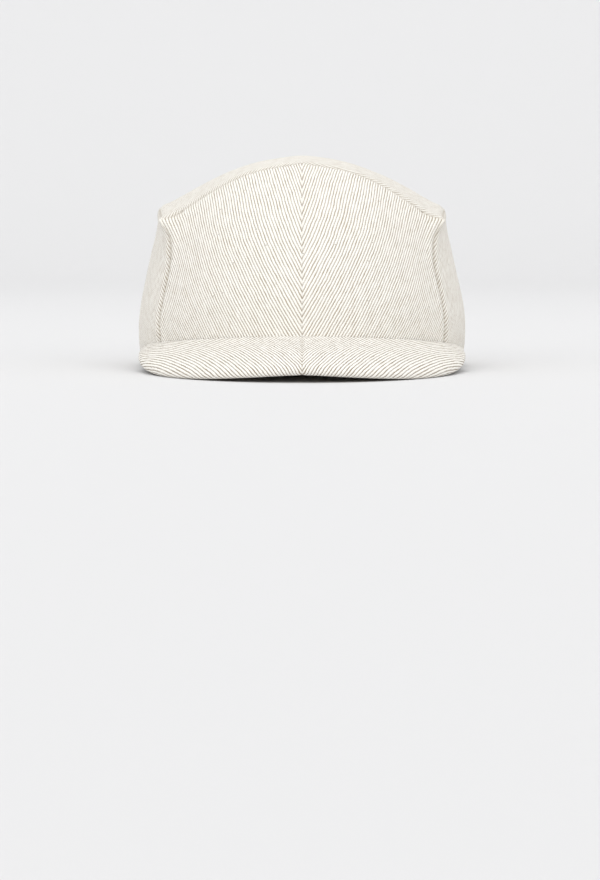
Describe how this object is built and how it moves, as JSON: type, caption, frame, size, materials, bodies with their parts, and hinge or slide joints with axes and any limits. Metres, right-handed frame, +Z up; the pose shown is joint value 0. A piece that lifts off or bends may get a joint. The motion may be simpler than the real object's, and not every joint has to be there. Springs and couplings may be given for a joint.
{
  "type": "linen cap",
  "caption": "Peaked cap of cream ribbed linen twill: a panelled crown with pointed front corners, a short padded peak curved round the rim, and an inner sweatband.",
  "frame": {"origin": "under the middle of the cap's bounding box, on the surface it rests on", "axes": "+Z up, the peak points along -Y, +X is the wearer's left"},
  "size_m": [0.1852, 0.2626, 0.119],
  "materials": {
    "twill": "ribbed linen twill, cream, matt",
    "lining": "plain beige canvas, matt",
    "band": "plain cotton tape, matt"
  },
  "bodies": {
    "root": {"front_panel_left": "twill", "front_panel_right": "twill", "side_panel_left": "twill", "side_panel_right": "twill", "top_panel": "twill", "peak_cover": "twill", "peak_lining": "lining", "sweatband": "band"}
  },
  "joints": []
}
